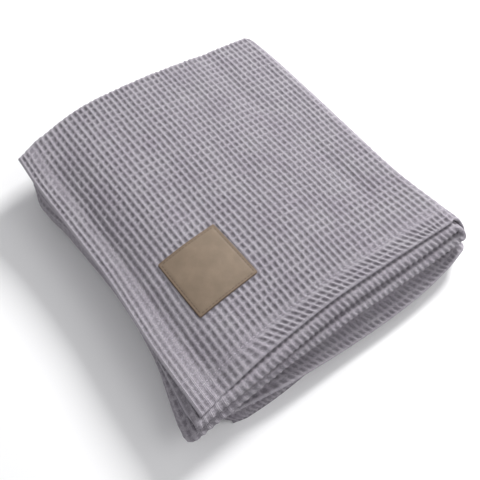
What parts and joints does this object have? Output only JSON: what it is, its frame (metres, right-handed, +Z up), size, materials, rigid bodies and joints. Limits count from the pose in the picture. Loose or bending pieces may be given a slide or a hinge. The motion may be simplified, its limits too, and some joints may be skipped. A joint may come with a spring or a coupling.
{
  "type": "folded blanket",
  "caption": "Soft waffle-weave blanket folded into a thick square stack, with stitched hems and a plain square leather patch near one corner.",
  "frame": {"origin": "centre of the folded stack's outline, on its flat underside", "axes": "+X along the near-right hem edge, +Y along the left hem edge, +Z up out of the top layer"},
  "size_m": [0.2696, 0.291, 0.0491],
  "materials": {
    "waffle_cotton": "matt light grey-lilac waffle weave",
    "tan_leather": "satin tan, fine grain"
  },
  "bodies": {
    "root": {"blanket": "waffle_cotton", "leather_patch": "tan_leather"}
  },
  "joints": []
}
